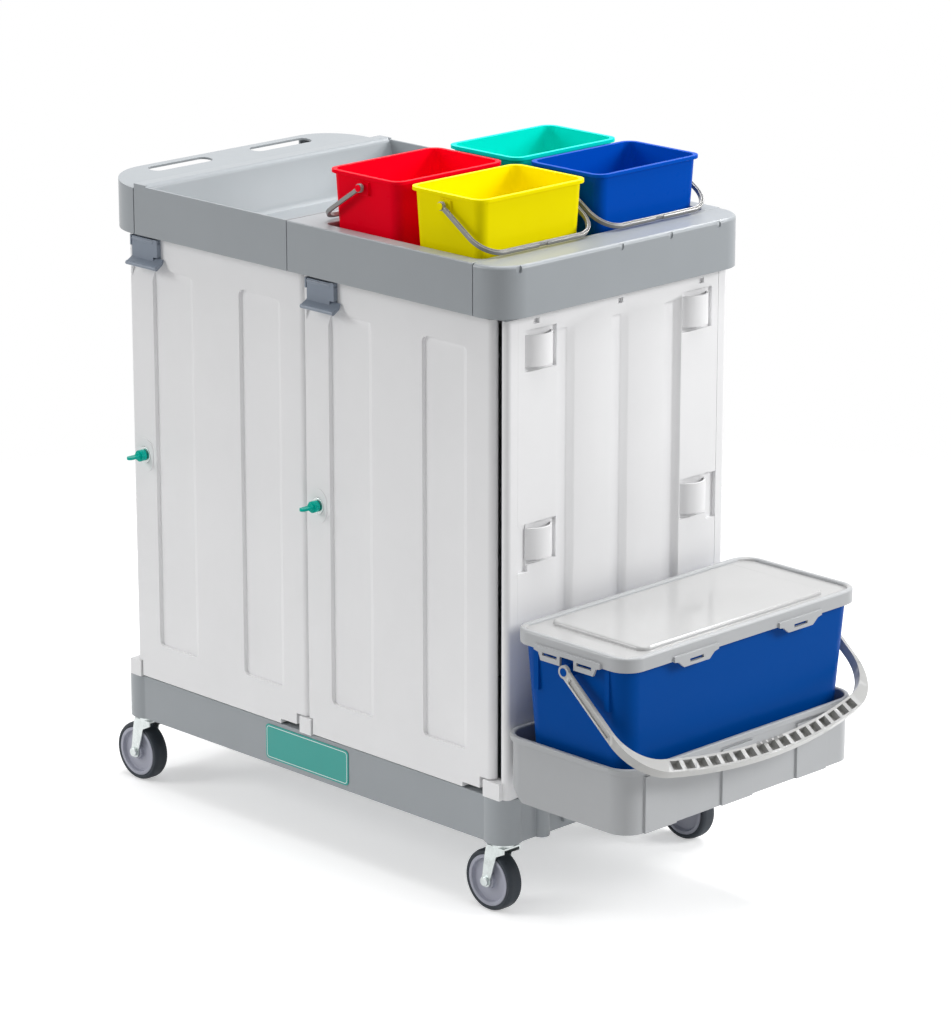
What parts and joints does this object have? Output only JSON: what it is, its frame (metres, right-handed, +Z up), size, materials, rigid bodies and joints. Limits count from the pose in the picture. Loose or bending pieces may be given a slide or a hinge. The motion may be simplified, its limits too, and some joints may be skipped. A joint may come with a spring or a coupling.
{
  "type": "janitor cart",
  "caption": "Wheeled cleaning cart: lockable two-door cabinet on swivel casters, moulded top trays with lift-out pails, tool loops and a lidded bucket in an end carrier.",
  "frame": {"origin": "centre of the whole part's box, on the floor under the wheels", "axes": "+X along the cart from the handle to the carried bucket, -Y out of the doors, +Z up"},
  "size_m": [1.3555, 0.5984, 1.199],
  "materials": {
    "grey_moulding": "fine matt moulded grain",
    "light_grey_moulding": "fine matt moulded grain",
    "white_moulding": "fine matt moulded grain",
    "slate_plastic": "satin",
    "zinc_steel": "bright zinc plate",
    "key_teal": "glossy",
    "pail_red": "glossy",
    "pail_yellow": "glossy",
    "pail_teal": "glossy",
    "pail_blue": "glossy",
    "bail_grey": "satin gloss",
    "grip_grey": "satin",
    "bucket_blue": "satin gloss",
    "lid_grey": "glossy top, satin rim",
    "wheel_grey": "satin",
    "tyre_black": "matt rubber"
  },
  "bodies": {
    "cart": {"base_frame": "grey_moulding", "panel_left": "white_moulding", "panel_right": "white_moulding", "divider": "white_moulding", "rear_panel_left": "white_moulding", "rear_panel_right": "white_moulding", "foot_blocks": "white_moulding", "top_plate": "grey_moulding", "handle_end": "grey_moulding", "tray_left": "grey_moulding", "tray_right": "grey_moulding", "end_cap": "grey_moulding", "end_loops": "white_moulding", "carrier_tray": "light_grey_moulding", "carrier_brackets": "grey_moulding", "bracket_bolts": "zinc_steel", "lock_keepers": "zinc_steel", "swivel_stems": "zinc_steel"},
    "door_left": {"door_left": "white_moulding", "door_pins_left": "zinc_steel", "lock_left": "zinc_steel", "latch_base_left": "slate_plastic"},
    "key_left": {"key_left": "key_teal"},
    "latch_lever_left": {"latch_lever_left": "slate_plastic"},
    "door_right": {"door_right": "white_moulding", "door_pins_right": "zinc_steel", "lock_right": "zinc_steel", "latch_base_right": "slate_plastic"},
    "key_right": {"key_right": "key_teal"},
    "latch_lever_right": {"latch_lever_right": "slate_plastic"},
    "pail_red": {"pail_red": "pail_red"},
    "bail_red": {"bail_red": "bail_grey"},
    "pail_yellow": {"pail_yellow": "pail_yellow"},
    "bail_yellow": {"bail_yellow": "bail_grey"},
    "pail_teal": {"pail_teal": "pail_teal"},
    "bail_teal": {"bail_teal": "bail_grey"},
    "pail_blue": {"pail_blue": "pail_blue"},
    "bail_blue": {"bail_blue": "bail_grey"},
    "bucket": {"bucket": "bucket_blue"},
    "bucket_lid": {"bucket_lid": "lid_grey"},
    "bucket_bail": {"bucket_bail": "grip_grey"},
    "fork_fl": {"fork_fl": "zinc_steel", "axle_fl": "zinc_steel"},
    "wheel_fl": {"wheel_fl": "wheel_grey", "tyre_fl": "tyre_black"},
    "fork_fr": {"fork_fr": "zinc_steel", "axle_fr": "zinc_steel"},
    "wheel_fr": {"wheel_fr": "wheel_grey", "tyre_fr": "tyre_black"},
    "fork_bl": {"fork_bl": "zinc_steel", "axle_bl": "zinc_steel"},
    "wheel_bl": {"wheel_bl": "wheel_grey", "tyre_bl": "tyre_black"},
    "fork_br": {"fork_br": "zinc_steel", "axle_br": "zinc_steel"},
    "wheel_br": {"wheel_br": "wheel_grey", "tyre_br": "tyre_black"}
  },
  "joints": [
    {"name": "door_left_swing", "type": "hinge", "parent": "cart", "child": "door_left", "pos_m": [-0.16325, -0.2492, 0.21], "axis": [0, 0, 1], "range_deg": [0, 100]},
    {"name": "key_left_turn", "type": "hinge", "parent": "door_left", "child": "key_left", "pos_m": [-0.56575, -0.2592, 0.62], "axis": [0, -1, 0], "range_deg": [0, 90]},
    {"name": "latch_left_tip", "type": "hinge", "parent": "door_left", "child": "latch_lever_left", "pos_m": [-0.54775, -0.2637, 1.006], "axis": [-1, 0, 0], "range_deg": [0, 25]},
    {"name": "door_right_swing", "type": "hinge", "parent": "cart", "child": "door_right", "pos_m": [0.28075, -0.2492, 0.21], "axis": [0, 0, 1], "range_deg": [0, 100]},
    {"name": "key_right_turn", "type": "hinge", "parent": "door_right", "child": "key_right", "pos_m": [-0.12175, -0.2592, 0.62], "axis": [0, -1, 0], "range_deg": [0, 90]},
    {"name": "latch_right_tip", "type": "hinge", "parent": "door_right", "child": "latch_lever_right", "pos_m": [-0.10375, -0.2637, 1.006], "axis": [-1, 0, 0], "range_deg": [0, 25]},
    {"name": "pail_red_lift", "type": "slide", "parent": "cart", "child": "pail_red", "axis": [0, 0, 1], "range_m": [0, 0.25]},
    {"name": "bail_red_swing", "type": "hinge", "parent": "pail_red", "child": "bail_red", "pos_m": [-0.01425, -0.1302, 1.179], "axis": [0, 1, 0], "range_deg": [0, 115]},
    {"name": "pail_yellow_lift", "type": "slide", "parent": "cart", "child": "pail_yellow", "axis": [0, 0, 1], "range_m": [0, 0.25]},
    {"name": "bail_yellow_swing", "type": "hinge", "parent": "pail_yellow", "child": "bail_yellow", "pos_m": [0.17575, -0.1302, 1.179], "axis": [0, -1, 0], "range_deg": [0, 115]},
    {"name": "pail_teal_lift", "type": "slide", "parent": "cart", "child": "pail_teal", "axis": [0, 0, 1], "range_m": [0, 0.25]},
    {"name": "bail_teal_swing", "type": "hinge", "parent": "pail_teal", "child": "bail_teal", "pos_m": [-0.01425, 0.1418, 1.179], "axis": [0, 1, 0], "range_deg": [0, 115]},
    {"name": "pail_blue_lift", "type": "slide", "parent": "cart", "child": "pail_blue", "axis": [0, 0, 1], "range_m": [0, 0.25]},
    {"name": "bail_blue_swing", "type": "hinge", "parent": "pail_blue", "child": "bail_blue", "pos_m": [0.17575, 0.1418, 1.179], "axis": [0, -1, 0], "range_deg": [0, 115]},
    {"name": "bucket_lift", "type": "slide", "parent": "cart", "child": "bucket", "axis": [0, 0, 1], "range_m": [0, 0.3]},
    {"name": "bucket_lid_lift", "type": "slide", "parent": "bucket", "child": "bucket_lid", "axis": [0, 0, 1], "range_m": [0, 0.08]},
    {"name": "bucket_bail_swing", "type": "hinge", "parent": "bucket", "child": "bucket_bail", "pos_m": [0.47925, 0.0058, 0.476], "axis": [0, -1, 0], "range_deg": [0, 120]},
    {"name": "caster_fl_swivel", "type": "hinge", "parent": "cart", "child": "fork_fl", "pos_m": [-0.60275, -0.2302, 0.127], "axis": [0, 0, 1], "continuous": true},
    {"name": "wheel_fl_roll", "type": "hinge", "parent": "fork_fl", "child": "wheel_fl", "pos_m": [-0.62475, -0.2302, 0.053], "axis": [0, 1, 0], "continuous": true},
    {"name": "caster_fr_swivel", "type": "hinge", "parent": "cart", "child": "fork_fr", "pos_m": [0.28925, -0.2302, 0.127], "axis": [0, 0, 1], "continuous": true},
    {"name": "wheel_fr_roll", "type": "hinge", "parent": "fork_fr", "child": "wheel_fr", "pos_m": [0.26725, -0.2302, 0.053], "axis": [0, 1, 0], "continuous": true},
    {"name": "caster_bl_swivel", "type": "hinge", "parent": "cart", "child": "fork_bl", "pos_m": [-0.60275, 0.2418, 0.127], "axis": [0, 0, 1], "continuous": true},
    {"name": "wheel_bl_roll", "type": "hinge", "parent": "fork_bl", "child": "wheel_bl", "pos_m": [-0.62475, 0.2418, 0.053], "axis": [0, 1, 0], "continuous": true},
    {"name": "caster_br_swivel", "type": "hinge", "parent": "cart", "child": "fork_br", "pos_m": [0.28925, 0.2418, 0.127], "axis": [0, 0, 1], "continuous": true},
    {"name": "wheel_br_roll", "type": "hinge", "parent": "fork_br", "child": "wheel_br", "pos_m": [0.26725, 0.2418, 0.053], "axis": [0, 1, 0], "continuous": true}
  ]
}
